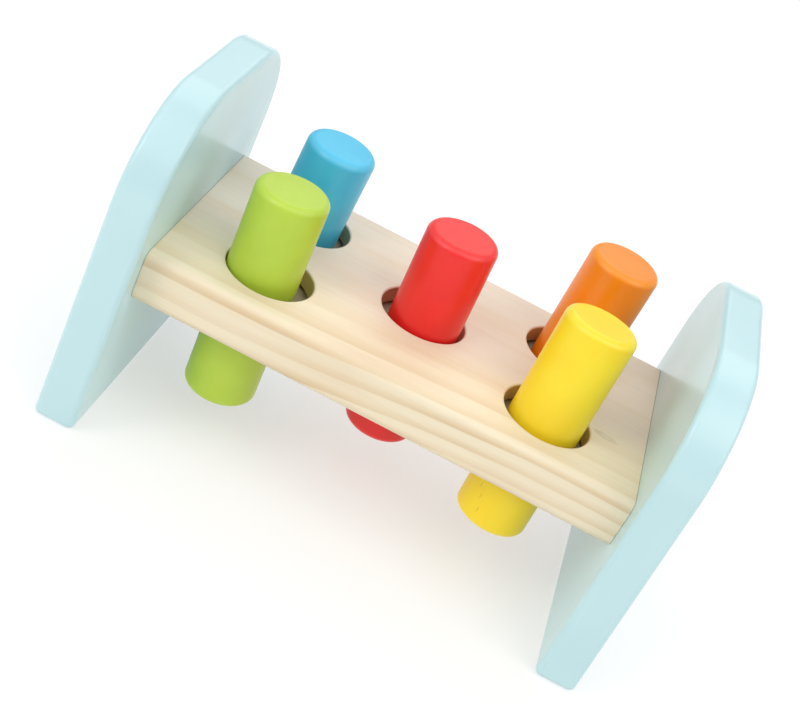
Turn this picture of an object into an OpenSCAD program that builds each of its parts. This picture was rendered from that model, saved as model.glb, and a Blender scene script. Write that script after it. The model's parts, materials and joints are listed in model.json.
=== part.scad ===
// Peg pounding bench: a pine plank between two painted end boards, with five loose pegs
// that are hammered through the plank. A rubber ring inside each hole grips its peg. The
// plank sits at half height, so the bench turns over and stands on its other edges.
// X runs along the plank, Y from front to back and Z up. The origin is on the table,
// under the middle of the bench.

/* [Plank] */
// Length of the plank between the end boards
plank_length = 186; // [172:1:210]
// Width of the plank, front to back
plank_width = 103; // [92:1:116]
// Thickness of the plank
plank_thickness = 20; // [18:0.5:24]
// Rounding of the plank's long edges
plank_edge_r = 3.6; // [1:0.1:6]

/* [End boards] */
// Height of the end boards
board_height = 128; // [118:1:140]
// Width of the end boards at the foot
board_foot_width = 128; // [118:1:140]
// Width of the end boards across the shoulders
board_shoulder_width = 123; // [112:1:127]
// Thickness of the end boards
board_thickness = 15.5; // [13:0.5:20]
// Radius of the shoulders
shoulder_r = 39; // [20:1:46]
// Radius of the corners at the foot
foot_corner_r = 2.5; // [2.5:0.1:6]
// Rounding of the edges of the end boards
board_edge_r = 2.3; // [1:0.1:2.4]

/* [Peg holes] */
// Diameter of the peg holes
hole_d = 33.4; // [31.5:0.1:36]
// Wood left between an outer hole and the end of the plank
end_wood = 21.1; // [19:0.1:26]
// Distance across the plank between two outer holes
hole_spacing = 48; // [43:0.5:52]
// Bevel round both mouths of each hole
hole_bevel = 0.6; // [0.2:0.1:1.5]
// Height of the ring groove in the wall of each hole
groove_height = 6.6; // [5.8:0.1:9]
// Depth of the ring groove into the wall
groove_depth = 3; // [2:0.1:4]

/* [Grip rings] */
// Height of a grip ring where it sits in its groove
ring_height = 5; // [4.2:0.1:5.6]
// Height of a grip ring at its inner lip
lip_height = 3; // [1.5:0.1:4]

/* [Pegs] */
// Diameter of the pegs
peg_d = 27.4; // [25:0.1:30]
// Length of the pegs
peg_length = 87; // [70:1:100]
// Rounding of the edge at both ends of a peg
peg_end_r = 3; // [1:0.1:6]

/* [Dowels] */
// Diameter of the dowels
dowel_d = 8; // [6:0.5:10]
// Length of the dowels
dowel_length = 25; // [20:1:26]
// Depth of a dowel in its end board
dowel_board_depth = 10; // [8:0.5:11]
// Bevel at both ends of a dowel
dowel_bevel = 0.8; // [0.4:0.1:1.5]
// Distance between the two dowels of one end
dowel_spacing = 24; // [18:1:32]

/* [Screws] */
// Shank diameter of the screws
screw_d = 4; // [3:0.1:5]
// Length of the screws, head and tip included
screw_length = 32; // [28:1:34]
// Head diameter of the screws
screw_head_d = 8; // [7:0.1:10]
// Straight rim of a screw head above its cone
screw_head_rim = 0.4; // [0.2:0.1:0.8]
// Depth of a screw head below the face of the end board
screw_sink = 0.4; // [0.1:0.1:1]
// Length of a screw's pointed tip
screw_tip_length = 5; // [3:0.5:8]
// Diameter of the very end of that tip
screw_tip_d = 0.8; // [0.4:0.1:1.5]
// Length of each slot of the cross in a screw head
cross_length = 4.4; // [3:0.1:5]
// Width of each slot of the cross
cross_width = 1; // [0.6:0.1:1.4]
// Depth of the cross
cross_depth = 1.5; // [0.8:0.1:2]
// Distance between the two screws of one end
screw_spacing = 68; // [62:1:76]

/* [Hidden] */
// Radial clearance of rings, dowels and screws in their seats
fit_clearance = 0.05;
// Radial clearance of a peg in its grip ring
running_clearance = 0.05;
// Spare depth at the end of a blind bore
bore_spare = 0.5;
// How far a cut runs past the face that it opens
overrun = 1;

// Steps of a quarter turn in a rounded outline
arc_steps = 8;
// Steps of the rounding along a board's edge
edge_steps = 4;
// Facets of a full turn on an end board
board_facets = 48;
$fn = 96;

// The pegs, from the left front hole round the bench to the right front one
peg_names = ["green", "blue", "red", "orange", "yellow"];
peg_paints = ["#b4cf4d", "#45a9cf", "#ea3b35", "#f88a2a", "#fbdc3a"];
// Place of each hole, in shares of the distance from the middle to an outer hole
hole_place_shares = [[-1, -1], [-1, 1], [0, 0], [1, 1], [1, -1]];
// Where each loose peg sits in its hole at mid-thickness, in shares of its play
peg_offset_shares = [[-0.71, -0.23], [-0.54, 0.63], [0.56, -0.57], [0.36, 0.73], [0.03, -0.54]];
// How far each peg leans between mid-thickness and the plank's top, in shares of its play
peg_lean_shares = [[-0.11, 0.03], [0.12, 0.03], [-0.1, 0.03], [0.08, 0.05], [0.06, 0.35]];
// Height of each peg: 0 with its foot on the table, 1 with its head level with the boards' tops
peg_lift_shares = [0.5, 0.5, 0.58, 0.76, 0.68];

// The two ends of the bench and the two fasteners of each kind at an end
end_names = ["left", "right"];
row_names = ["front", "back"];
sides = [-1, 1];

plank_mid_z = board_height / 2;
hole_r = hole_d / 2;
hole_x = plank_length / 2 - end_wood - hole_r;
hole_y = hole_spacing / 2;
groove_r = hole_r + groove_depth;
peg_r = peg_d / 2;
peg_play = hole_r - peg_r;
peg_travel = board_height - peg_length;
ring_r = groove_r - fit_clearance;
ring_lip_r = peg_r - peg_play;
// A grip ring lies on the floor of its groove, so its middle is below the groove's middle
ring_drop = (groove_height - ring_height) / 2 - fit_clearance;
dowel_r = dowel_d / 2;
dowel_plank_depth = dowel_length - dowel_board_depth;
screw_r = screw_d / 2;
screw_head_r = screw_head_d / 2;
screw_top = board_thickness - screw_sink;
screw_cone_top = screw_top - screw_head_rim;
screw_cone_foot = screw_cone_top - (screw_head_r - screw_r);
screw_end = screw_top - screw_length;

// Middle of a hole, at the plank's mid-thickness
function hole_place(i) = [
    hole_place_shares[i][0] * hole_x,
    hole_place_shares[i][1] * hole_y,
    plank_mid_z
];

// Where a peg's axis crosses the plank's mid-thickness, and the way it points
function peg_place(i) = hole_place(i) + peg_play * [peg_offset_shares[i][0], peg_offset_shares[i][1], 0];
function peg_axis(i) = [
    peg_play * peg_lean_shares[i][0],
    peg_play * peg_lean_shares[i][1],
    plank_thickness / 2
];
// Height of a peg's middle above the plank's mid-thickness, along its axis
function peg_rise(i) = peg_lift_shares[i] * peg_travel + peg_length / 2 - plank_mid_z;

// Points of an arc round a centre, from one angle to another
function arc(centre, r, from, to, steps) = [
    for (k = [0:steps])
        let (a = from + (to - from) * k / steps)
            centre + r * [cos(a), sin(a)]
];

function rounded_rectangle(w, h, r) = concat(
    arc([w / 2 - r, h / 2 - r], r, 0, 90, arc_steps),
    arc([r - w / 2, h / 2 - r], r, 90, 180, arc_steps),
    arc([r - w / 2, r - h / 2], r, 180, 270, arc_steps),
    arc([w / 2 - r, r - h / 2], r, 270, 360, arc_steps)
);

function turned_over(points) = [
    for (k = [len(points) - 1:-1:0])
        [points[k][0], -points[k][1]]
];

// Section of a grip ring, from its seat in the groove to its inner lip
function ring_half() = [
    for (k = [0:arc_steps])
        let (a = 90 * k / arc_steps)
            [
                ring_r - (ring_r - ring_lip_r) * sin(a),
                lip_height / 2 + (ring_height - lip_height) / 2 * cos(a)
            ]
];

// Puts a shape on a peg's axis, with its middle at the plank's mid-thickness
module on_peg_axis(i) {
    axis = peg_axis(i);
    translate(peg_place(i))
        rotate([0, acos(axis[2] / norm(axis)), atan2(axis[1], axis[0])])
            children();
}

// Puts a shape on an end face of the plank, pointing out through the end board
module on_plank_end(side, y) {
    translate([side * plank_length / 2, y, plank_mid_z])
        rotate([0, 90 * side, 0])
            children();
}

module peg_hole() {
    cylinder(h = plank_thickness + 2 * overrun, r = hole_r, center = true);
    cylinder(h = groove_height, r = groove_r, center = true);
    for (turn = [0, 180])
        rotate([turn, 0, 0])
            translate([0, 0, plank_thickness / 2 - hole_bevel])
                cylinder(h = hole_bevel + overrun, r1 = hole_r, r2 = hole_r + hole_bevel + overrun);
}

module dowel_bore() {
    translate([0, 0, -dowel_plank_depth - bore_spare])
        cylinder(h = dowel_length + 2 * bore_spare, r = dowel_r + fit_clearance);
}

module screw_bore() {
    translate([0, 0, screw_end - bore_spare])
        cylinder(h = screw_top - screw_end + bore_spare, r = screw_r + fit_clearance);
    translate([0, 0, screw_cone_foot])
        cylinder(
            h = screw_head_r - screw_r,
            r1 = screw_r + fit_clearance,
            r2 = screw_head_r + fit_clearance
        );
    translate([0, 0, screw_cone_top])
        cylinder(h = screw_head_rim + screw_sink + overrun, r = screw_head_r + fit_clearance);
}

// The bores of all the dowels and screws at one end of the bench
module end_bores(side) {
    for (row = sides) {
        on_plank_end(side, row * dowel_spacing / 2) dowel_bore();
        on_plank_end(side, row * screw_spacing / 2) screw_bore();
    }
}

// A disc with a rounded rim, lying on its flat face
module rounded_disc(r) {
    rotate_extrude($fn = board_facets)
        polygon(concat(
            [[0, 0]],
            arc([r - board_edge_r, board_edge_r], board_edge_r, -90, 0, edge_steps),
            arc([r - board_edge_r, board_thickness - board_edge_r], board_edge_r, 0, 90, edge_steps),
            [[0, board_thickness]]
        ));
}

module bench_plank() {
    color("#ecd9b6")
        difference() {
            translate([-plank_length / 2, 0, plank_mid_z])
                rotate([90, 0, 90])
                    linear_extrude(plank_length)
                        polygon(rounded_rectangle(plank_width, plank_thickness, plank_edge_r));
            for (i = [0:len(peg_names) - 1])
                translate(hole_place(i)) peg_hole();
            for (side = sides)
                end_bores(side);
        }
}

// Standing board with a flat foot, sides that draw in and big round shoulders
module end_board(side) {
    color("#c3e2e5")
        difference() {
            translate([side * plank_length / 2, 0, 0])
                rotate([0, 90 * side, 0])
                    hull()
                        for (row = sides) {
                            foot_z = foot_corner_r;
                            shoulder_z = board_height - shoulder_r;
                            translate([-side * foot_z, row * (board_foot_width / 2 - foot_corner_r), 0])
                                rounded_disc(foot_corner_r);
                            translate([-side * shoulder_z, row * (board_shoulder_width / 2 - shoulder_r), 0])
                                rounded_disc(shoulder_r);
                        }
            end_bores(side);
        }
}

// A plain turned peg, rounded alike at both ends so that it works either way up
module peg(i) {
    upper = arc([peg_r - peg_end_r, peg_length / 2 - peg_end_r], peg_end_r, 0, 90, arc_steps);
    color(peg_paints[i])
        on_peg_axis(i)
            translate([0, 0, peg_rise(i)])
                rotate_extrude()
                    polygon(concat(
                        [[0, -peg_length / 2]],
                        turned_over(upper),
                        upper,
                        [[0, peg_length / 2]]
                    ));
}

// A soft ring that lies in its groove and closes on the peg, wherever the peg sits in its hole
module grip_ring(i) {
    color("#d9d6cf")
        difference() {
            translate(hole_place(i) - [0, 0, ring_drop])
                rotate_extrude()
                    polygon(concat(ring_half(), turned_over(ring_half())));
            on_peg_axis(i)
                cylinder(h = 2 * groove_height, r = peg_r + running_clearance, center = true);
        }
}

// Blind dowel, part in the plank and part in its end board
module dowel(side, row) {
    color("#dcc08f")
        on_plank_end(side, row * dowel_spacing / 2)
            rotate_extrude()
                polygon([
                    [0, -dowel_plank_depth],
                    [dowel_r - dowel_bevel, -dowel_plank_depth],
                    [dowel_r, dowel_bevel - dowel_plank_depth],
                    [dowel_r, dowel_board_depth - dowel_bevel],
                    [dowel_r - dowel_bevel, dowel_board_depth],
                    [0, dowel_board_depth]
                ]);
}

// Countersunk cross-head wood screw, with its head just below the face of the end board
module screw(side, row) {
    color("#b9bcc0")
        on_plank_end(side, row * screw_spacing / 2)
            difference() {
                rotate_extrude()
                    polygon([
                        [0, screw_end],
                        [screw_tip_d / 2, screw_end],
                        [screw_r, screw_end + screw_tip_length],
                        [screw_r, screw_cone_foot],
                        [screw_head_r, screw_cone_top],
                        [screw_head_r, screw_top],
                        [0, screw_top]
                    ]);
                for (turn = [0, 90])
                    rotate(turn)
                        translate([-cross_length / 2, -cross_width / 2, screw_top - cross_depth])
                            cube([cross_length, cross_width, cross_depth + overrun]);
            }
}

bench_plank();
for (e = [0, 1]) {
    end_board(sides[e]);
    for (r = [0, 1]) {
        fastener = str(end_names[e], "_", row_names[r]);
        dowel(sides[e], sides[r]);
        screw(sides[e], sides[r]);
    }
}
for (i = [0:len(peg_names) - 1]) {
    peg(i);
    grip_ring(i);
}
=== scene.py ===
import json
import math

import bmesh
import bpy
from mathutils import Matrix, Vector


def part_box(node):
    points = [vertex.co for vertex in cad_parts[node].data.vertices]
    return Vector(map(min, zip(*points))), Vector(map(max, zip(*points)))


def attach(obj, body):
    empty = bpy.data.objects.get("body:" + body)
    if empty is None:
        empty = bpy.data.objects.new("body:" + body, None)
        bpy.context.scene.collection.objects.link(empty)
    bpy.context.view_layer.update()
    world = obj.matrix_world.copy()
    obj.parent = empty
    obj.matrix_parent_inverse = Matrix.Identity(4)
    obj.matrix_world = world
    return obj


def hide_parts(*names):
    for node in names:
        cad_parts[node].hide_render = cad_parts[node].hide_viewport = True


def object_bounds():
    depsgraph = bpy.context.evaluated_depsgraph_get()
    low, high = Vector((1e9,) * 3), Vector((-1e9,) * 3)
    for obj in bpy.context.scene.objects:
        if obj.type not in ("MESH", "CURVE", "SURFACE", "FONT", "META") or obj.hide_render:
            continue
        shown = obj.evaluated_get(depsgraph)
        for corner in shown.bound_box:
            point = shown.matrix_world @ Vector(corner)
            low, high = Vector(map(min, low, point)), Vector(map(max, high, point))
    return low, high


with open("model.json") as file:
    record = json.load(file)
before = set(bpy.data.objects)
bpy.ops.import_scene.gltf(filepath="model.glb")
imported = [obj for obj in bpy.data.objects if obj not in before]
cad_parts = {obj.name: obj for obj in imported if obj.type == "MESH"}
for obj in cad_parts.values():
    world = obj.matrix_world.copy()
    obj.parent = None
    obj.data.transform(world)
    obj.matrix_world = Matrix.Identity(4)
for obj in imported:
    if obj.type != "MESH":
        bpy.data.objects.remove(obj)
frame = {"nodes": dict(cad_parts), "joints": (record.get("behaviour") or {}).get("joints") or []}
cad_low, cad_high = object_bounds()


# Plank. A planed pine board, sawn to length, with its long edges rounded over and five peg holes
# bored through it. A groove is cut round the inside of each hole, at mid-thickness, for a grip ring.
# It is left its own colour under a thin clear lacquer, and its ends are bored for dowels and screws.
MM = 0.001
plank_edge_radius = 3.6 * MM
plank_edge_steps = 10
plank_end_easing = 0.35 * MM
plank_end_steps = 2
hole_radius = 16.7 * MM
hole_easing = 0.8 * MM
groove_radius = 19.7 * MM
groove_height = 6.6 * MM
dowel_bore_radius = 4.05 * MM
screw_bore_radius = 2.05 * MM
bore_spare = 0.5 * MM
cut_overrun = 0.3 * MM
same_place = 0.001 * MM
round_steps = 128
smooth_below = math.radians(40)
peg_colours = ["green", "blue", "red", "orange", "yellow"]
fastener_rows = ["front", "back"]


def new_piece(name, add_primitive, **settings):
    """Adds a primitive with nothing else selected, and leaves its size and place in its mesh."""
    bpy.ops.object.select_all(action="DESELECT")
    add_primitive(**settings)
    piece = bpy.context.object
    piece.name = name
    piece.data.name = name
    bpy.ops.object.transform_apply(location=True, rotation=True, scale=True)
    return piece


def pick(kind, wanted):
    """Selects, in edit mode, the edges or faces for which wanted is true."""
    bpy.ops.mesh.select_mode(type=kind)
    bpy.ops.mesh.select_all(action="DESELECT")
    mesh = bmesh.from_edit_mesh(bpy.context.object.data)
    for element in mesh.edges if kind == "EDGE" else mesh.faces:
        if wanted(element):
            element.select_set(True)
    bmesh.update_edit_mesh(bpy.context.object.data)


def turned(name, rings):
    """Makes a solid of revolution round Z, a disc extruded and resized through (radius, height) rings."""
    radius, height = rings[0]
    piece = new_piece(
        name,
        bpy.ops.mesh.primitive_circle_add,
        vertices=round_steps,
        radius=radius,
        fill_type="NGON",
        location=(0, 0, height),
    )
    bpy.ops.object.mode_set(mode="EDIT")
    bpy.ops.mesh.select_all(action="SELECT")
    for next_radius, next_height in rings[1:]:
        bpy.ops.mesh.extrude_region_move(TRANSFORM_OT_translate={"value": (0, 0, next_height - height)})
        growth = next_radius / radius
        bpy.ops.transform.resize(value=(growth, growth, 1), center_override=(0, 0, next_height))
        radius, height = next_radius, next_height
    bpy.ops.mesh.select_all(action="SELECT")
    bpy.ops.mesh.normals_make_consistent(inside=False)
    bpy.ops.object.mode_set(mode="OBJECT")
    return piece


def copy_to(model, name, matrix):
    """Copies a modelled piece, with a mesh of its own, to its place in the frame."""
    bpy.ops.object.select_all(action="DESELECT")
    model.select_set(True)
    bpy.context.view_layer.objects.active = model
    bpy.ops.object.duplicate()
    piece = bpy.context.object
    piece.name = name
    piece.data.name = name
    piece.matrix_world = matrix
    bpy.ops.object.transform_apply(location=True, rotation=True, scale=True)
    return piece


def discard(*pieces):
    for piece in pieces:
        bpy.data.objects.remove(piece)


def apply_modifier(piece, kind, **settings):
    bpy.ops.object.select_all(action="DESELECT")
    piece.select_set(True)
    bpy.context.view_layer.objects.active = piece
    modifier = piece.modifiers.new(kind.lower(), kind)
    for setting, value in settings.items():
        setattr(modifier, setting, value)
    bpy.ops.object.modifier_apply(modifier=modifier.name)


def cut(piece, cutters):
    """Cuts the joined cutters out of a piece and throws them away."""
    bpy.ops.object.select_all(action="DESELECT")
    for cutter in cutters:
        cutter.select_set(True)
    bpy.context.view_layer.objects.active = cutters[0]
    bpy.ops.object.join()
    apply_modifier(piece, "BOOLEAN", operation="DIFFERENCE", solver="EXACT", object=cutters[0])
    discard(cutters[0])


def smooth(piece):
    """Shades the round parts smooth and keeps the flat faces flat."""
    bpy.ops.object.select_all(action="DESELECT")
    piece.select_set(True)
    bpy.context.view_layer.objects.active = piece
    bpy.ops.object.shade_smooth_by_angle(angle=smooth_below)
    apply_modifier(piece, "WEIGHTED_NORMAL", keep_sharp=True, weight=100)


def middle_of(node):
    low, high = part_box(node)
    return (low + high) / 2


def along_x(edge):
    ends = edge.verts[1].co - edge.verts[0].co
    return abs(ends.y) < same_place and abs(ends.z) < same_place


plank_low, plank_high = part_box("bench_plank")
plank_size = plank_high - plank_low
plank = new_piece(
    "pine_plank",
    bpy.ops.mesh.primitive_cube_add,
    size=1,
    location=middle_of("bench_plank"),
    scale=plank_size,
)
bpy.ops.object.mode_set(mode="EDIT")
pick("EDGE", along_x)
bpy.ops.mesh.bevel(offset=plank_edge_radius, segments=plank_edge_steps, affect="EDGES", clamp_overlap=False)
pick("EDGE", lambda edge: all(abs(abs(end.co.x) - plank_high.x) < same_place for end in edge.verts))
bpy.ops.mesh.bevel(offset=plank_end_easing, segments=plank_end_steps, affect="EDGES", clamp_overlap=False)
bpy.ops.object.mode_set(mode="OBJECT")

mouth_turns = [math.radians(turn) for turn in (0, 25, 50, 75)]
half_plank = plank_size.z / 2
mouth = [
    (hole_radius + hole_easing * (1 - math.cos(turn)), half_plank - hole_easing * (1 - math.sin(turn)))
    for turn in mouth_turns
]
mouth_rise = half_plank + cut_overrun - mouth[-1][1]
mouth.append((mouth[-1][0] + mouth_rise * math.tan(mouth_turns[-1]), half_plank + cut_overrun))
upper_half = [
    (groove_radius, 0),
    (groove_radius, groove_height / 2),
    (hole_radius, groove_height / 2),
    *mouth,
]
lower_half = [(radius, -height) for radius, height in reversed(upper_half[1:])]
hole_cutter = turned("hole_cutter", lower_half + upper_half[1:])
plank_cutters = []
for colour in peg_colours:
    hole_middle = middle_of(f"{colour}_grip_ring")
    hole_middle.z = middle_of("bench_plank").z
    plank_cutters.append(copy_to(hole_cutter, f"{colour}_hole", Matrix.Translation(hole_middle)))
bore_cutter = turned("bore_cutter", [(1, -0.5), (1, 0.5)])
lie_along_x = Matrix.Rotation(math.radians(90), 4, "Y")


def bore(node, radius):
    """Makes a cutter a little longer and wider than a dowel or screw that lies along X."""
    low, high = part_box(node)
    size = Matrix.Diagonal((radius, radius, high.x - low.x + 2 * bore_spare, 1))
    return copy_to(bore_cutter, f"{node}_bore", Matrix.Translation(middle_of(node)) @ lie_along_x @ size)


for end in ("left", "right"):
    for row in fastener_rows:
        plank_cutters.append(bore(f"{end}_{row}_dowel", dowel_bore_radius))
        plank_cutters.append(bore(f"{end}_{row}_screw", screw_bore_radius))
cut(plank, plank_cutters)
smooth(plank)


def linear(srgb, alpha=1):
    """Turns an sRGB hex colour to the linear one that shaders take."""
    channels = [int(srgb[place:place + 2], 16) / 255 for place in (1, 3, 5)]
    return *(c / 12.92 if c <= 0.04045 else ((c + 0.055) / 1.055) ** 2.4 for c in channels), alpha


def feed(node, inputs):
    """Sets each input to a value, or links it to the output that feeds it."""
    for socket, value in inputs.items():
        if isinstance(value, bpy.types.NodeSocket):
            node.id_data.links.new(value, node.inputs[socket])
        else:
            node.inputs[socket].default_value = value


def add_node(tree, kind, inputs, out=0, **settings):
    """Adds a shader node with its settings, feeds it and returns one of its outputs."""
    node = tree.nodes.new("ShaderNode" + kind)
    for setting, value in settings.items():
        setattr(node, setting, value)
    feed(node, inputs)
    return node.outputs[out]


# Places of the colour sockets on a Mix node
MIX_A, MIX_B, MIX_RESULT = 6, 7, 2


def new_material(name):
    """Starts a material, and returns it, its nodes, its shader and the place on the piece in mm."""
    material = bpy.data.materials.new(name)
    material.use_nodes = True
    tree = material.node_tree
    place = add_node(tree, "TexCoord", {}, out="Object")
    place_mm = add_node(tree, "VectorMath", {0: place, "Scale": 1 / MM}, operation="SCALE")
    return material, tree, tree.nodes["Principled BSDF"], place_mm


# Lacquered pine: cream earlywood that darkens softly to tan as each year's growth ends, then turns
# pale at once. The tree's heart lay above the plank and its years narrow to the right, so they show
# as stripes that rise along the front, spread out over the top and leave plain, greyer wood behind.
pine_cream = "#ebddc0"
pine_tan = "#d6ba8e"
pine_back = "#e7dac7"
pine_blush = "#e2caad"
# Hole walls: a darker, more orange colour, partly the bored end grain and partly painted shade of the deep
# holes
pine_bored_shade = "#cbac7f"
pine_knot = "#a8936b"
heart_place_mm = (0, 30, 190)
plain_wood_mm = 120.7
first_year_mm = 10.5
year_crowding = 1.226
year_narrowing = 0.333
wide_until_mm = -72
narrow_from_mm = 64
wander_mm = 1.1
wander_length_mm = 60
wander_width_mm = 26
left_year_strengths = (0.3, 0.6, 1, 0.35, 0.7, 0.7, 0.55)
right_year_strengths = (0.2, 0.5, 0.35, 0.8, 0.7, 0.6, 0.5)
striped_from_mm = 10
year_fade_mm = 45
year_apart = 7.3
darkens_from, darkest_at = 0.3, 0.92
pales_from, pale_at = 0.9, 1
faintest_year, fullest_year = 0.6, 1.1
grain_rise = 2.5
fibre_width_mm = 0.5
fibre_length_mm = 18
darkest_fibre, palest_fibre = 0.975, 1.02
streak_width_mm = 4
streak_length_mm = 90
most_streak = 0.2
blush_width_mm = 16
blush_length_mm = 60
most_blush = 0.6
bored_shade_within_mm = 46
bored_shade_fade_mm = 2
most_bored_shade = 0.85
knot_place_mm = (77.6, -18.6, 73)
knot_size_mm = (4.6, 1.5, 6)
knot_turn = math.radians(-12)
knot_heart, knot_rim_from, knot_gone = 0.2, 0.8, 1.35
heart_strength, rim_strength = 0.2, 0.65
knot_right_share = 0.55
knot_plain_share = 0.25
lacquer_smoothest, lacquer_roughest = 0.42, 0.6
year_relief_share = 0.15
pine_relief_mm = 0.02

pine, tree, shader, place_mm = new_material("lacquered_pine")
along = add_node(tree, "SeparateXYZ", {0: place_mm}, out="X")
from_heart = add_node(tree, "VectorMath", {0: place_mm, 1: heart_place_mm}, operation="SUBTRACT")
across = add_node(tree, "VectorMath", {0: from_heart, 1: (0, 1, 1)}, operation="MULTIPLY")
reach = add_node(tree, "VectorMath", {0: across}, out="Value", operation="LENGTH")
narrowed = add_node(
    tree,
    "MapRange",
    {"Value": along, "From Min": wide_until_mm, "From Max": narrow_from_mm},
    interpolation_type="SMOOTHSTEP",
)
growth = add_node(tree, "Math", {0: narrowed, 1: year_narrowing, 2: 1}, operation="MULTIPLY_ADD")
wander_place = add_node(
    tree,
    "Mapping",
    {"Vector": place_mm, "Scale": (1 / wander_length_mm, 1 / wander_width_mm, 1 / wander_width_mm)},
)
wander = add_node(tree, "TexNoise", {"Vector": wander_place, "Scale": 1, "Detail": 1}, out="Fac")
wander = add_node(tree, "MapRange", {"Value": wander, "To Min": -wander_mm, "To Max": wander_mm})
grown = add_node(tree, "Math", {0: reach, 1: plain_wood_mm}, operation="SUBTRACT")
grown = add_node(tree, "Math", {0: grown, 1: growth, 2: wander}, operation="MULTIPLY_ADD")
grown = add_node(tree, "Math", {0: grown, 1: 0}, operation="MAXIMUM")
years = add_node(tree, "Math", {0: grown, 1: first_year_mm}, operation="DIVIDE")
years = add_node(tree, "Math", {0: years, 1: year_crowding}, operation="POWER")
season = add_node(tree, "Math", {0: years}, operation="FRACT")
year = add_node(tree, "Math", {0: years}, operation="FLOOR")
darkening = add_node(
    tree,
    "MapRange",
    {"Value": season, "From Min": darkens_from, "From Max": darkest_at},
    interpolation_type="SMOOTHSTEP",
)
year_end = add_node(
    tree,
    "MapRange",
    {"Value": season, "From Min": pales_from, "From Max": pale_at, "To Min": 1, "To Max": 0},
    interpolation_type="SMOOTHSTEP",
)
latewood = add_node(tree, "Math", {0: darkening, 1: year_end}, operation="MULTIPLY")
year_place = add_node(tree, "Math", {0: years, 1: len(left_year_strengths)}, operation="DIVIDE")
end_strengths = []
for strengths in (left_year_strengths, right_year_strengths):
    strength = add_node(tree, "ValToRGB", {"Fac": year_place}, out="Color")
    ramp = strength.node.color_ramp
    ramp.interpolation = "CONSTANT"
    ramp.elements.remove(ramp.elements[1])
    for count, grey in enumerate(strengths):
        stop = ramp.elements[0] if count == 0 else ramp.elements.new(count / len(strengths))
        stop.color = (grey, grey, grey, 1)
    end_strengths.append(strength)
year_strength = add_node(
    tree,
    "Mix",
    {0: narrowed, MIX_A: end_strengths[0], MIX_B: end_strengths[1]},
    out=MIX_RESULT,
    data_type="RGBA",
)
fade_along = add_node(tree, "Math", {0: along, 1: year_fade_mm}, operation="DIVIDE")
fade_across = add_node(tree, "Math", {0: year, 1: year_apart}, operation="MULTIPLY")
fade_place = add_node(tree, "CombineXYZ", {"X": fade_along, "Y": fade_across})
year_fade = add_node(tree, "TexNoise", {"Vector": fade_place, "Scale": 1, "Detail": 0}, out="Fac")
year_fade = add_node(
    tree,
    "MapRange",
    {
        "Value": year_fade,
        "From Min": 0.3,
        "From Max": 0.7,
        "To Min": faintest_year,
        "To Max": fullest_year,
    },
)
year_strength = add_node(tree, "Math", {0: year_strength, 1: year_fade}, operation="MULTIPLY")
striped = add_node(
    tree,
    "MapRange",
    {"Value": grown, "From Min": 0, "From Max": striped_from_mm},
    interpolation_type="SMOOTHSTEP",
)
latewood = add_node(tree, "Math", {0: latewood, 1: striped}, operation="MULTIPLY")
latewood_share = add_node(tree, "Math", {0: latewood, 1: year_strength}, operation="MULTIPLY")
back_share = add_node(tree, "Math", {0: 1, 1: striped}, operation="SUBTRACT")
grain_turn = (0, -math.radians(grain_rise), 0)
fibre_place = add_node(
    tree,
    "Mapping",
    {
        "Vector": place_mm,
        "Rotation": grain_turn,
        "Scale": (1 / fibre_length_mm, 1 / fibre_width_mm, 1 / fibre_width_mm),
    },
)
fibre = add_node(tree, "TexNoise", {"Vector": fibre_place, "Scale": 1, "Detail": 2}, out="Fac")
streak_place = add_node(
    tree,
    "Mapping",
    {
        "Vector": place_mm,
        "Rotation": grain_turn,
        "Scale": (1 / streak_length_mm, 1 / streak_width_mm, 1 / streak_width_mm),
    },
)
streak = add_node(tree, "TexNoise", {"Vector": streak_place, "Scale": 1, "Detail": 1}, out="Fac")
streak_share = add_node(
    tree,
    "MapRange",
    {"Value": streak, "From Min": 0.5, "From Max": 0.8, "To Max": most_streak},
    interpolation_type="SMOOTHSTEP",
)
blush_place = add_node(
    tree,
    "Mapping",
    {"Vector": place_mm, "Scale": (1 / blush_length_mm, 1 / blush_width_mm, 1 / blush_width_mm)},
)
blush = add_node(tree, "TexNoise", {"Vector": blush_place, "Scale": 1, "Detail": 1}, out="Fac")
blush_share = add_node(
    tree,
    "MapRange",
    {"Value": blush, "From Min": 0.45, "From Max": 0.75, "To Max": most_blush},
    interpolation_type="SMOOTHSTEP",
)
# Upright faces inside the plank, the hole walls, take the bored colour with its painted shade
normal = add_node(tree, "NewGeometry", {}, out="Normal")
facing_up = add_node(tree, "SeparateXYZ", {0: normal}, out="Z")
facing_up = add_node(tree, "Math", {0: facing_up}, operation="ABSOLUTE")
upright = add_node(
    tree,
    "MapRange",
    {"Value": facing_up, "From Min": 0.1, "From Max": 0.5, "To Min": most_bored_shade, "To Max": 0},
    interpolation_type="SMOOTHSTEP",
)
off_middle = add_node(tree, "SeparateXYZ", {0: place_mm}, out="Y")
off_middle = add_node(tree, "Math", {0: off_middle}, operation="ABSOLUTE")
inside = add_node(
    tree,
    "MapRange",
    {
        "Value": off_middle,
        "From Min": bored_shade_within_mm - bored_shade_fade_mm,
        "From Max": bored_shade_within_mm,
        "To Min": 1,
        "To Max": 0,
    },
)
bored_shade_share = add_node(tree, "Math", {0: upright, 1: inside}, operation="MULTIPLY")
knot_place = add_node(
    tree,
    "Mapping",
    {
        "Vector": place_mm,
        "Location": knot_place_mm,
        "Rotation": (0, 0, knot_turn),
        "Scale": knot_size_mm,
    },
    vector_type="TEXTURE",
)
knot_reach = add_node(tree, "VectorMath", {0: knot_place}, out="Value", operation="LENGTH")
knot_rim = add_node(
    tree,
    "MapRange",
    {
        "Value": knot_reach,
        "From Min": knot_heart,
        "From Max": knot_rim_from,
        "To Min": heart_strength,
        "To Max": rim_strength,
    },
    interpolation_type="SMOOTHSTEP",
)
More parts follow.
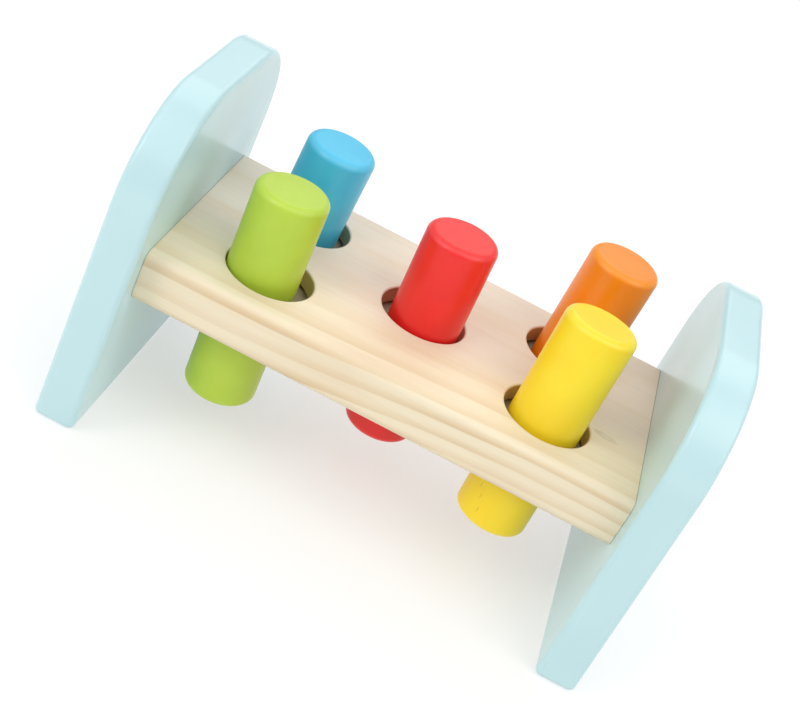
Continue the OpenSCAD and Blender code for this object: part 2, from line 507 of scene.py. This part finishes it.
knot_fade = add_node(
    tree,
    "MapRange",
    {"Value": knot_reach, "From Min": knot_rim_from, "From Max": knot_gone, "To Min": 1, "To Max": 0},
    interpolation_type="SMOOTHSTEP",
)
knot_along = add_node(tree, "SeparateXYZ", {0: knot_place}, out="X")
knot_shade = add_node(
    tree,
    "MapRange",
    {
        "Value": knot_along,
        "From Min": -knot_rim_from,
        "From Max": knot_rim_from,
        "To Min": 1,
        "To Max": knot_right_share,
    },
)
knot_streak = add_node(
    tree,
    "MapRange",
    {"Value": fibre, "From Min": 0.35, "From Max": 0.65, "To Min": knot_plain_share},
)
knot_share = add_node(tree, "Math", {0: knot_rim, 1: knot_fade}, operation="MULTIPLY")
knot_share = add_node(tree, "Math", {0: knot_share, 1: knot_shade}, operation="MULTIPLY")
knot_share = add_node(tree, "Math", {0: knot_share, 1: knot_streak}, operation="MULTIPLY")
colour = add_node(
    tree,
    "Mix",
    {0: back_share, MIX_A: linear(pine_cream), MIX_B: linear(pine_back)},
    out=MIX_RESULT,
    data_type="RGBA",
)
for share, tint in (
    (blush_share, pine_blush),
    (streak_share, pine_tan),
    (latewood_share, pine_tan),
    (bored_shade_share, pine_bored_shade),
    (knot_share, pine_knot),
):
    colour = add_node(
        tree,
        "Mix",
        {0: share, MIX_A: colour, MIX_B: linear(tint)},
        out=MIX_RESULT,
        data_type="RGBA",
    )
fibre_shade = add_node(
    tree,
    "MapRange",
    {"Value": fibre, "From Min": 0.3, "From Max": 0.7, "To Min": darkest_fibre, "To Max": palest_fibre},
)
colour = add_node(tree, "VectorMath", {0: colour, "Scale": fibre_shade}, operation="SCALE")
roughness = add_node(
    tree, "MapRange", {"Value": fibre, "To Min": lacquer_smoothest, "To Max": lacquer_roughest}
)
relief = add_node(tree, "Math", {0: latewood, 1: year_relief_share, 2: fibre}, operation="MULTIPLY_ADD")
bump = add_node(tree, "Bump", {"Height": relief, "Distance": pine_relief_mm * MM, "Strength": 1})
feed(shader, {"Base Color": colour, "Roughness": roughness, "Normal": bump, "IOR": 1.5})
plank.data.materials.append(pine)
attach(plank, "bench")
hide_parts("bench_plank")


# Grip rings. Soft moulded rings that sit in the grooves of the holes and close on the pegs, so that
# a peg stays where the hammer leaves it. They are seen only in the gaps beside the pegs.
# Matt rubber: a milky grey-brown, with a faint mould bloom.
rubber_grey = "#a3967c"
rubber_bloom = "#b3a68c"
bloom_size_mm = 3
rubber, tree, shader, place_mm = new_material("matt_rubber")
bloom = add_node(
    tree, "TexNoise", {"Vector": place_mm, "Scale": 1 / bloom_size_mm, "Detail": 3}, out="Fac"
)
colour = add_node(
    tree,
    "Mix",
    {0: bloom, MIX_A: linear(rubber_grey), MIX_B: linear(rubber_bloom)},
    out=MIX_RESULT,
    data_type="RGBA",
)
feed(shader, {"Base Color": colour, "Roughness": 0.7, "IOR": 1.5})
for colour_name in peg_colours:
    frame["nodes"][f"{colour_name}_grip_ring"].material_slots[0].material = rubber


# Dowels. Turned beech pins, glued half in the plank and half in an end board, out of sight.
# Plain beech: warm straw with short darker flecks along the grain.
beech_straw = "#d9bd8d"
beech_fleck = "#b48f5c"
fleck_length_mm = 2.5
fleck_width_mm = 0.35
fleck_relief_mm = 0.04
beech, tree, shader, place_mm = new_material("plain_beech")
fleck_place = add_node(
    tree,
    "Mapping",
    {"Vector": place_mm, "Scale": (1 / fleck_length_mm, 1 / fleck_width_mm, 1 / fleck_width_mm)},
)
fleck = add_node(tree, "TexNoise", {"Vector": fleck_place, "Scale": 1, "Detail": 1}, out="Fac")
fleck_share = add_node(tree, "MapRange", {"Value": fleck, "From Min": 0.55, "From Max": 0.75})
colour = add_node(
    tree,
    "Mix",
    {0: fleck_share, MIX_A: linear(beech_straw), MIX_B: linear(beech_fleck)},
    out=MIX_RESULT,
    data_type="RGBA",
)
bump = add_node(tree, "Bump", {"Height": fleck, "Distance": fleck_relief_mm * MM, "Strength": 1})
feed(shader, {"Base Color": colour, "Roughness": 0.6, "Normal": bump, "IOR": 1.5})
for end in ("left", "right"):
    for row in fastener_rows:
        frame["nodes"][f"{end}_{row}_dowel"].material_slots[0].material = beech


# End boards. Two boards alike, sawn with sides that draw in towards big round shoulders, rounded
# over along every edge and sprayed pale aqua. They are glued and screwed to the plank's ends, and
# the bench stands on their feet or, turned over, on their top edges.
board_foot_width = 128 * MM
board_shoulder_width = 123 * MM
shoulder_radius = 39 * MM
shoulder_steps = 32
foot_corner_radius = 2.5 * MM
foot_corner_steps = 10
board_edge_radius = 2.3 * MM
board_edge_steps = 6
countersink_radius = 4.05 * MM
countersink_rim = 0.8 * MM

board_low, board_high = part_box("right_end_board")
board_size = board_high - board_low
# Each side is the straight line that touches the foot's corner and the shoulder's rounding, so it
# leans in, and the blank's corners are found by running it on to the foot and the top.
step_in = (board_foot_width - board_shoulder_width) / 2 + shoulder_radius - foot_corner_radius
step_up = board_size.z - shoulder_radius - foot_corner_radius
touch = math.acos((shoulder_radius - foot_corner_radius) / math.hypot(step_in, step_up))
side_lean = touch - math.atan2(step_up, step_in)
corner_run_out = foot_corner_radius * (1 / math.cos(side_lean) + math.tan(side_lean) - 1)
blank_foot_width = board_foot_width + 2 * corner_run_out
blank_top_width = blank_foot_width - 2 * board_size.z * math.tan(side_lean)
shoulder_setback = shoulder_radius / math.tan((math.radians(90) + side_lean) / 2)
foot_setback = foot_corner_radius / math.tan((math.radians(90) - side_lean) / 2)
right_board = new_piece(
    "right_painted_board",
    bpy.ops.mesh.primitive_cube_add,
    size=1,
    location=middle_of("right_end_board"),
    scale=(board_size.x, blank_foot_width, board_size.z),
)
bpy.ops.object.mode_set(mode="EDIT")
pick("FACE", lambda face: face.normal.z > 0.9)
bpy.ops.transform.resize(value=(1, blank_top_width / blank_foot_width, 1), center_override=(0, 0, 0))
for height, setback, steps in (
    (board_high.z, shoulder_setback, shoulder_steps),
    (board_low.z, foot_setback, foot_corner_steps),
):
    pick(
        "EDGE",
        lambda edge: along_x(edge) and abs(edge.verts[0].co.z - height) < same_place,
    )
    bpy.ops.mesh.bevel(offset=setback, segments=steps, affect="EDGES", clamp_overlap=False)
pick(
    "EDGE",
    lambda edge: any(abs(face.normal.x) > 0.9 for face in edge.link_faces)
    and any(abs(face.normal.x) < 0.1 for face in edge.link_faces),
)
bpy.ops.mesh.bevel(offset=board_edge_radius, segments=board_edge_steps, affect="EDGES", clamp_overlap=False)
bpy.ops.object.mode_set(mode="OBJECT")

board_cutters = []
for row in fastener_rows:
    screw_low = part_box(f"right_{row}_screw")[0]
    screw_middle = middle_of(f"right_{row}_screw")
    head_top = board_high.x - screw_low.x
    cone_top = head_top - countersink_rim
    cone_foot = cone_top - (countersink_radius - screw_bore_radius)
    countersink = turned(
        f"{row}_countersink",
        [
            (screw_bore_radius, 0),
            (screw_bore_radius, cone_foot),
            (countersink_radius, cone_top),
            (countersink_radius, head_top + cut_overrun),
        ],
    )
    seat = Vector((screw_low.x, screw_middle.y, screw_middle.z))
    board_cutters.append(copy_to(countersink, f"right_{row}_seat", Matrix.Translation(seat) @ lie_along_x))
    board_cutters.append(bore(f"right_{row}_dowel", dowel_bore_radius))
    discard(countersink)
cut(right_board, board_cutters)
smooth(right_board)
left_board = copy_to(right_board, "left_painted_board", Matrix.Rotation(math.radians(180), 4, "Z"))
discard(hole_cutter, bore_cutter)

# Satin aqua paint, sprayed on wood: even and pale, with faint clouds where the coat is thicker, a
# fine stipple, and the wood's upright grain just showing through as relief.
aqua = "#bedee2"
aqua_cloud = "#b9dade"
cloud_size_mm = 45
stipple_size_mm = 2.4
board_grain_width_mm = 1.4
board_grain_length_mm = 60
board_grain_share = 0.8
aqua_relief_mm = 0.005
aqua_smoothest, aqua_roughest = 0.19, 0.25
aqua_paint, tree, shader, place_mm = new_material("satin_aqua_paint")
cloud = add_node(
    tree, "TexNoise", {"Vector": place_mm, "Scale": 1 / cloud_size_mm, "Detail": 2}, out="Fac"
)
cloud_share = add_node(tree, "MapRange", {"Value": cloud, "From Min": 0.35, "From Max": 0.65})
colour = add_node(
    tree,
    "Mix",
    {0: cloud_share, MIX_A: linear(aqua), MIX_B: linear(aqua_cloud)},
    out=MIX_RESULT,
    data_type="RGBA",
)
stipple = add_node(
    tree, "TexNoise", {"Vector": place_mm, "Scale": 1 / stipple_size_mm, "Detail": 1}, out="Fac"
)
board_grain_place = add_node(
    tree,
    "Mapping",
    {
        "Vector": place_mm,
        "Scale": (1 / board_grain_width_mm, 1 / board_grain_width_mm, 1 / board_grain_length_mm),
    },
)
board_grain = add_node(
    tree, "TexNoise", {"Vector": board_grain_place, "Scale": 1, "Detail": 2}, out="Fac"
)
relief = add_node(
    tree, "Math", {0: board_grain, 1: board_grain_share, 2: stipple}, operation="MULTIPLY_ADD"
)
bump = add_node(tree, "Bump", {"Height": relief, "Distance": aqua_relief_mm * MM, "Strength": 1})
roughness = add_node(tree, "MapRange", {"Value": cloud, "To Min": aqua_smoothest, "To Max": aqua_roughest})
feed(shader, {"Base Color": colour, "Roughness": roughness, "Normal": bump, "IOR": 1.5})
for board, node in ((left_board, "left_end_board"), (right_board, "right_end_board")):
    board.data.materials.append(aqua_paint)
    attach(board, "bench")
    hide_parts(node)


# Screws. Countersunk cross-head wood screws that draw the end boards tight to the plank, with their
# heads just below the paint.
# Bright zinc plate: cold grey, with faint duller patches and a patchy sheen.
zinc_grey = "#c3c7cb"
zinc_dull = "#9ea3a8"
zinc_patch_mm = 1.2
zinc_smoothest, zinc_roughest = 0.25, 0.45
zinc, tree, shader, place_mm = new_material("bright_zinc_plate")
patch = add_node(
    tree, "TexNoise", {"Vector": place_mm, "Scale": 1 / zinc_patch_mm, "Detail": 3}, out="Fac"
)
colour = add_node(
    tree,
    "Mix",
    {0: patch, MIX_A: linear(zinc_grey), MIX_B: linear(zinc_dull)},
    out=MIX_RESULT,
    data_type="RGBA",
)
roughness = add_node(tree, "MapRange", {"Value": patch, "To Min": zinc_smoothest, "To Max": zinc_roughest})
feed(shader, {"Base Color": colour, "Metallic": 1, "Roughness": roughness})
for end in ("left", "right"):
    for row in fastener_rows:
        frame["nodes"][f"{end}_{row}_screw"].material_slots[0].material = zinc


# Pegs. Five turned wooden pegs, rounded alike at both ends so that they work either way up, and
# dipped in satin paint. Each is loose in its hole and only its grip ring holds it, so they stand at
# different heights and lean a little.
peg_radius = 13.7 * MM
peg_length = 87 * MM
peg_end_radius = 3 * MM
peg_end_steps = 12

peg_model = turned("peg_model", [(peg_radius, -peg_length / 2), (peg_radius, peg_length / 2)])
bpy.ops.object.mode_set(mode="EDIT")
pick("EDGE", lambda edge: abs(edge.verts[0].co.z - edge.verts[1].co.z) < same_place)
bpy.ops.mesh.bevel(offset=peg_end_radius, segments=peg_end_steps, affect="EDGES", clamp_overlap=False)
bpy.ops.object.mode_set(mode="OBJECT")
smooth(peg_model)

# Satin toy paint, dipped on turned wood: bright and even, with faint clouds where the coat is
# thicker, the lengthwise grain just felt through it, and paler rims, partly a thinner coat and partly
# a painted highlight. Where the wood under it has dried out, the coat has short fine cracks along the
# grain.
# The third colour of each paint is its paler rim: a thinner coat with a painted highlight on it.
paints = {
    "green": ("#b6d143", "#b0cc3d", "#c2dc60"),
    "blue": ("#4bbfe4", "#43b9df", "#78cdea"),
    "red": ("#ee2923", "#e82421", "#f45559"),
    "orange": ("#f58c18", "#f58611", "#f5a842"),
    "yellow": ("#f6db28", "#f6d520", "#f6e456"),
}
paint_cracks_mm = {"yellow": [(46, -38.1, 44), (47.6, -39.7, 41.2), (48.9, -41, 36.6)]}
crack_colour = "#6d4f10"
crack_half_width_mm = 0.17
crack_half_length_mm = 3.2
crack_strength = 0.45
paint_cloud_mm = 14
peg_grain_width_mm = 0.9
peg_grain_length_mm = 22
peg_stipple_mm = 1.1
peg_stipple_share = 0.5
peg_relief_mm = 0.025
peg_smoothest, peg_roughest = 0.28, 0.4
most_rim_highlight = 0.35


def peg_paint(name, paint, paint_cloud, paint_rim_highlight):
    material, tree, shader, place_mm = new_material(f"satin_{name}_paint")
    cloud = add_node(
        tree, "TexNoise", {"Vector": place_mm, "Scale": 1 / paint_cloud_mm, "Detail": 2}, out="Fac"
    )
    cloud_share = add_node(tree, "MapRange", {"Value": cloud, "From Min": 0.35, "From Max": 0.65})
    # Rims of the rounded ends: paler, as a thinner coat and a painted highlight.
    normal = add_node(tree, "NewGeometry", {}, out="Normal")
    facing = add_node(tree, "SeparateXYZ", {0: normal}, out="Z")
    facing = add_node(tree, "Math", {0: facing}, operation="ABSOLUTE")
    off_side = add_node(
        tree,
        "MapRange",
        {"Value": facing, "From Min": 0.1, "From Max": 0.6, "To Max": most_rim_highlight},
        interpolation_type="SMOOTHSTEP",
    )
    off_end = add_node(
        tree,
        "MapRange",
        {"Value": facing, "From Min": 0.75, "From Max": 1, "To Min": 1, "To Max": 0},
        interpolation_type="SMOOTHSTEP",
    )
    rim_highlight_share = add_node(tree, "Math", {0: off_side, 1: off_end}, operation="MULTIPLY")
    coats = [(cloud_share, paint_cloud), (rim_highlight_share, paint_rim_highlight)]
    for crack_mm in paint_cracks_mm.get(name, []):
        from_crack = add_node(
            tree,
            "Mapping",
            {
                "Vector": place_mm,
                "Location": crack_mm,
                "Scale": (crack_half_width_mm, crack_half_width_mm, crack_half_length_mm),
            },
            vector_type="TEXTURE",
        )
        crack_reach = add_node(tree, "VectorMath", {0: from_crack}, out="Value", operation="LENGTH")
        crack_share = add_node(
            tree,
            "MapRange",
            {"Value": crack_reach, "From Min": 0.5, "From Max": 1, "To Min": crack_strength, "To Max": 0},
        )
        coats.append((crack_share, crack_colour))
    colour = linear(paint)
    for share, tint in coats:
        colour = add_node(
            tree,
            "Mix",
            {0: share, MIX_A: colour, MIX_B: linear(tint)},
            out=MIX_RESULT,
            data_type="RGBA",
        )
    grain_place = add_node(
        tree,
        "Mapping",
        {
            "Vector": place_mm,
            "Scale": (1 / peg_grain_width_mm, 1 / peg_grain_width_mm, 1 / peg_grain_length_mm),
        },
    )
    grain = add_node(tree, "TexNoise", {"Vector": grain_place, "Scale": 1, "Detail": 2}, out="Fac")
    stipple = add_node(
        tree, "TexNoise", {"Vector": place_mm, "Scale": 1 / peg_stipple_mm, "Detail": 1}, out="Fac"
    )
    relief = add_node(tree, "Math", {0: stipple, 1: peg_stipple_share, 2: grain}, operation="MULTIPLY_ADD")
    bump = add_node(tree, "Bump", {"Height": relief, "Distance": peg_relief_mm * MM, "Strength": 1})
    roughness = add_node(
        tree, "MapRange", {"Value": stipple, "To Min": peg_smoothest, "To Max": peg_roughest}
    )
    feed(shader, {"Base Color": colour, "Roughness": roughness, "Normal": bump, "IOR": 1.46})
    return material


slides = {joint["child"]: Vector(joint["axis"]) for joint in frame["joints"]}
for name, coats in paints.items():
    node = f"{name}_peg"
    lean = slides[node].to_track_quat("Z", "Y").to_matrix().to_4x4()
    peg = copy_to(peg_model, f"{name}_painted_peg", Matrix.Translation(middle_of(node)) @ lean)
    peg.data.materials.append(peg_paint(name, *coats))
    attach(peg, node)
    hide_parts(node)
discard(peg_model)


# Studio. A white shooting table, lit softly through its top so that shadows stay faint, in a white
# surround that is brighter above, behind and where it meets the table. Four broad lights stand
# round it, so that no corner is dark, and two small softboxes put highlights on the pegs' rims.
floor_size = 12
floor_paint = "#bcbcbb"
studio_white = "#ffffff"
floor_glow = 0.47
surround_back = 0.38
surround_above = 0.35
surround_horizon = 0.7
horizon_height = 0.12
broad_spread = math.radians(55)
broad_distance = 2
softbox_distance = 0.9
softbox_size = 0.2
floor = new_piece("floor", bpy.ops.mesh.primitive_plane_add, size=floor_size, location=(0, 0, 0))
floor_white, tree, shader, place_mm = new_material("matt_white_floor")
feed(
    shader,
    {
        "Base Color": linear(floor_paint),
        "Roughness": 0.8,
        "Emission Color": linear(studio_white),
        "Emission Strength": floor_glow,
    },
)
floor.data.materials.append(floor_white)

world = bpy.data.worlds.new("soft_surround")
world.use_nodes = True
tree = world.node_tree
towards = add_node(tree, "TexCoord", {}, out="Generated")
backwards = add_node(tree, "SeparateXYZ", {0: towards}, out="Y")
upwards = add_node(tree, "SeparateXYZ", {0: towards}, out="Z")
back_glow = add_node(tree, "MapRange", {"Value": backwards, "From Min": -1, "To Max": surround_back})
top_glow = add_node(tree, "MapRange", {"Value": upwards, "To Max": surround_above})
horizon_glow = add_node(
    tree,
    "MapRange",
    {"Value": upwards, "From Max": horizon_height, "To Min": surround_horizon, "To Max": 0},
)
glow = add_node(tree, "Math", {0: back_glow, 1: top_glow}, operation="ADD")
glow = add_node(tree, "Math", {0: glow, 1: horizon_glow}, operation="ADD")
feed(tree.nodes["Background"], {"Color": linear(studio_white), "Strength": glow})
bpy.context.scene.world = world

object_middle = (cad_low + cad_high) / 2


def round_from(azimuth, elevation):
    """Direction from the object: azimuth 0 is its front, and 90 its right."""
    turn = math.radians(azimuth)
    rise = math.radians(elevation)
    return Vector((
        math.sin(turn) * math.cos(rise),
        -math.cos(turn) * math.cos(rise),
        math.sin(rise),
    ))


def add_light(name, kind, azimuth, elevation, distance, **settings):
    """Hangs a light at a distance from the bench, turned towards it."""
    light = bpy.data.lights.new(name, kind)
    for setting, value in settings.items():
        setattr(light, setting, value)
    lamp = bpy.data.objects.new(name, light)
    direction = round_from(azimuth, elevation)
    lamp.location = object_middle + direction * distance
    lamp.rotation_euler = direction.to_track_quat("Z", "Y").to_euler()
    bpy.context.scene.collection.objects.link(lamp)


for name, azimuth, elevation, strength in (
    ("front_light", -3, 60, 0.55),
    ("left_light", -58, 32, 0.97),
    ("right_light", 58, 42, 0.96),
    ("back_light", 180, 50, 0.79),
):
    add_light(name, "SUN", azimuth, elevation, broad_distance, energy=strength, angle=broad_spread)
for name, azimuth, elevation, power in (("left_softbox", -45, 35, 0.66), ("right_softbox", 72, 35, 0.47)):
    add_light(
        name, "AREA", azimuth, elevation, softbox_distance, shape="SQUARE", size=softbox_size, energy=power
    )


# Camera. The photograph looks down on the bench from the front, with the camera tilted to its left.
camera_azimuth = 1.83
camera_elevation = 30.62
camera_roll = 26.47
camera_distance = 548.12 * MM
camera_target = Vector((-12.94, 0, 54)) * MM
camera_lens_mm = 65.68
camera_sensor_mm = 36
camera_shift_x = 0.035
camera_shift_y = -0.028
lens = bpy.data.cameras.new("camera")
lens.lens = camera_lens_mm
lens.shift_x = camera_shift_x
lens.shift_y = camera_shift_y
lens.sensor_width = camera_sensor_mm
camera = bpy.data.objects.new("camera", lens)
back = round_from(camera_azimuth, camera_elevation)
level = back.to_track_quat("Z", "Y").to_matrix().to_4x4()
tilt = Matrix.Rotation(math.radians(camera_roll), 4, "Z")
camera.matrix_world = Matrix.Translation(camera_target + back * camera_distance) @ level @ tilt
bpy.context.scene.collection.objects.link(camera)
bpy.context.scene.camera = camera
bpy.context.scene.view_settings.view_transform = "Standard"
